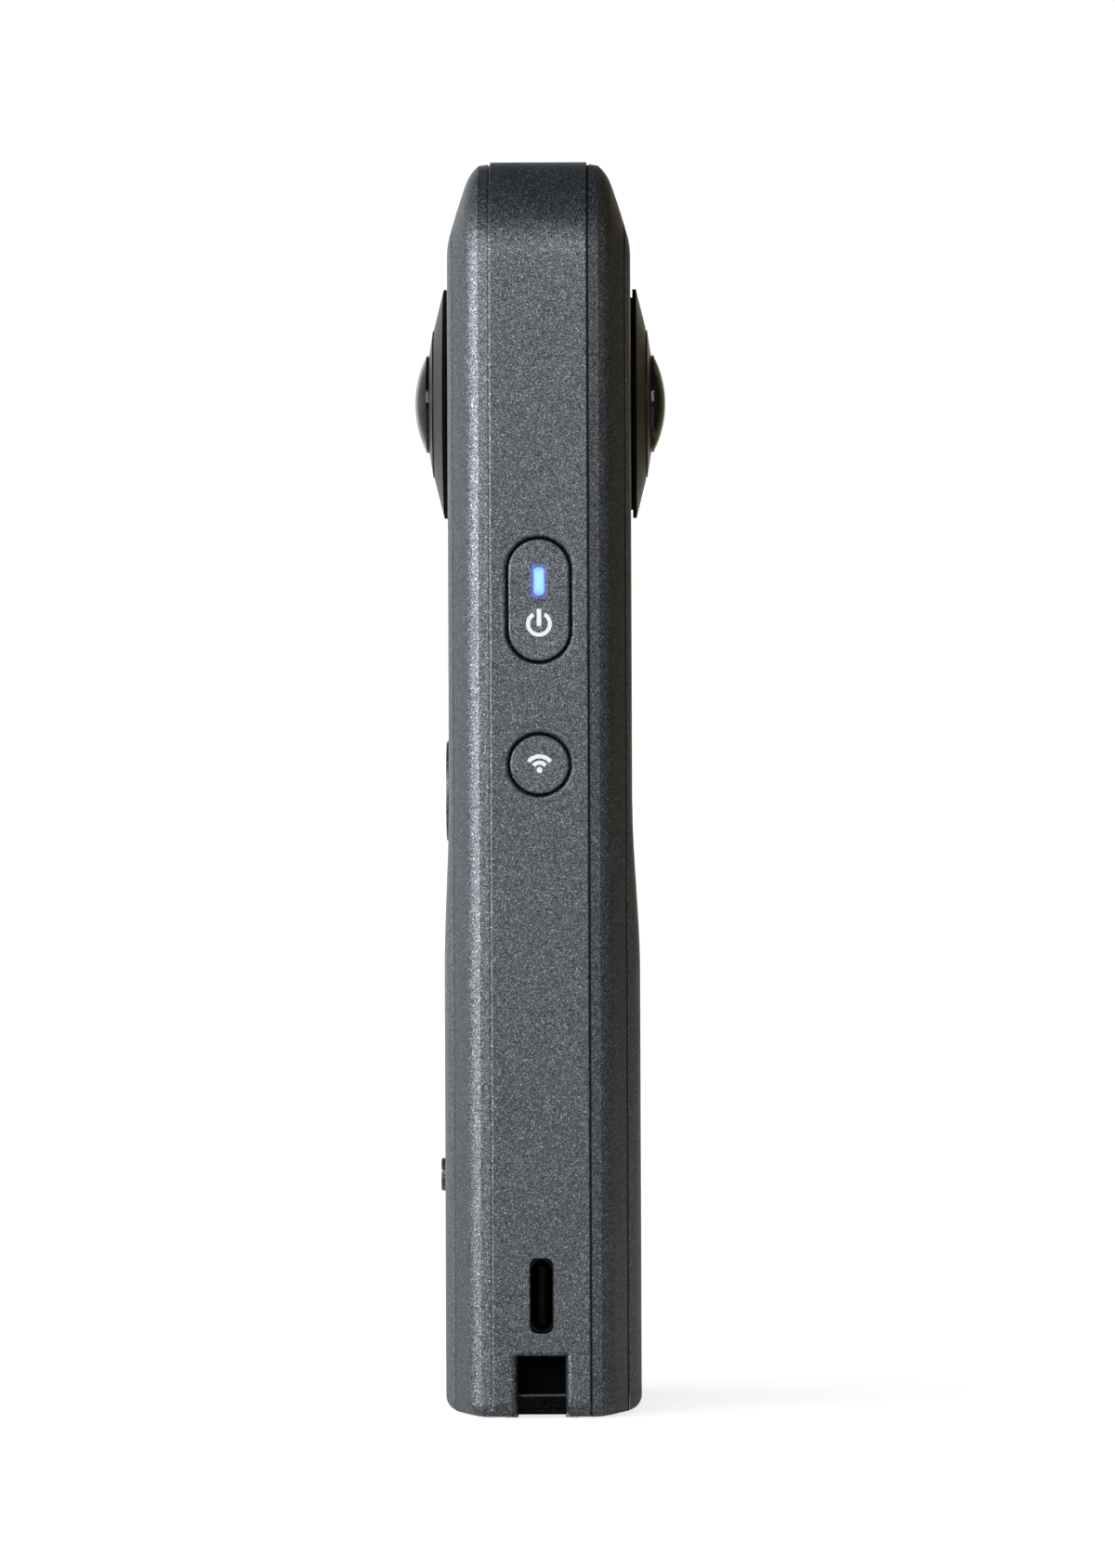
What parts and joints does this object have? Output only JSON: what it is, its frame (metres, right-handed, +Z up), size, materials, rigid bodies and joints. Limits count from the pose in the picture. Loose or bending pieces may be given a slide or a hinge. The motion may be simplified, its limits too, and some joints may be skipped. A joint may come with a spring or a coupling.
{
  "type": "360 degree camera",
  "caption": "Slim upright 360 degree camera with fisheye lenses back to back, side buttons, front shutter, display, USB socket and strap notch.",
  "frame": {"origin": "middle of the underside, on the surface that the camera stands on", "axes": "+Z up along the body, -Y the way the front lens, shutter button and display face, +X the side with the power button, wireless button, USB socket and strap notch"},
  "size_m": [0.054, 0.0308, 0.1509],
  "materials": {
    "graphite_paint": "fine metallic satin",
    "black_ring": "satin black",
    "front_glass": "coated optical glass",
    "inner_glass": "coated optical glass",
    "black_polymer": "fine moulded",
    "display_glass": "gloss black",
    "lamp_guide": "lit light guide",
    "socket_steel": "stamped",
    "brass_insert": "machined",
    "board_green": "solder mask",
    "chip_black": "moulded package",
    "can_steel": "tinned sheet",
    "copper_sheet": "rolled copper",
    "cell_wrap": "wrapped cell",
    "cast_chassis": "die cast",
    "screw_steel": "blackened",
    "white_ink": "printed ink",
    "contact_gold": "gold plated"
  },
  "bodies": {
    "camera_body": {"antenna": "copper_sheet", "base_plate": "black_polymer", "battery": "cell_wrap", "battery_tray": "black_polymer", "board_chips": "chip_black", "board_screws": "screw_steel", "board_shield": "can_steel", "display_holder": "black_polymer", "display_module": "chip_black", "display_window": "display_glass", "front_cover": "graphite_paint", "front_image_sensor": "chip_black", "front_inner_lens": "inner_glass", "front_lens_barrel": "black_polymer", "front_lens_bezel": "black_ring", "front_lens_glass": "front_glass", "front_lens_ring": "black_ring", "front_microphones": "can_steel", "front_prism": "inner_glass", "front_relay_lens": "inner_glass", "front_sensor_board": "board_green", "front_shell": "graphite_paint", "heat_spreader": "copper_sheet", "key_board": "board_green", "key_board_screws": "screw_steel", "lens_chassis": "cast_chassis", "lens_screws": "screw_steel", "main_board": "board_green", "mid_frame": "graphite_paint", "mode_switch": "can_steel", "power_switch": "can_steel", "rear_cover": "graphite_paint", "rear_image_sensor": "chip_black", "rear_inner_lens": "inner_glass", "rear_lens_barrel": "black_polymer", "rear_lens_bezel": "black_ring", "rear_lens_glass": "front_glass", "rear_lens_ring": "black_ring", "rear_microphones": "can_steel", "rear_prism": "inner_glass", "rear_relay_lens": "inner_glass", "rear_sensor_board": "board_green", "rear_shell": "graphite_paint", "rear_sound_board": "board_green", "shell_screws": "screw_steel", "shutter_switch": "can_steel", "side_switch_board": "board_green", "speaker": "black_polymer", "status_led": "chip_black", "strap_bar": "graphite_paint", "tripod_bush": "brass_insert", "usb_board": "board_green", "usb_receptacle": "socket_steel", "wireless_switch": "can_steel"},
    "power_key": {"power_button": "graphite_paint", "power_lamp": "lamp_guide"},
    "wireless_key": {"wireless_button": "graphite_paint"},
    "shutter_key": {"shutter_button": "graphite_paint"},
    "mode_key": {"mode_button": "graphite_paint"}
  },
  "joints": [
    {"name": "power_press", "type": "slide", "parent": "camera_body", "child": "power_key", "axis": [-1, 0, 0], "range_m": [0, 0.00035], "stiffness_N_per_m": 400, "springref_m": -0.0004},
    {"name": "wireless_press", "type": "slide", "parent": "camera_body", "child": "wireless_key", "axis": [-1, 0, 0], "range_m": [0, 0.00035], "stiffness_N_per_m": 400, "springref_m": -0.0004},
    {"name": "shutter_press", "type": "slide", "parent": "camera_body", "child": "shutter_key", "axis": [0, 1, 0], "range_m": [0, 0.00035], "stiffness_N_per_m": 400, "springref_m": -0.0004},
    {"name": "mode_press", "type": "slide", "parent": "camera_body", "child": "mode_key", "axis": [0, 1, 0], "range_m": [0, 0.00035], "stiffness_N_per_m": 300, "springref_m": -0.0004}
  ]
}
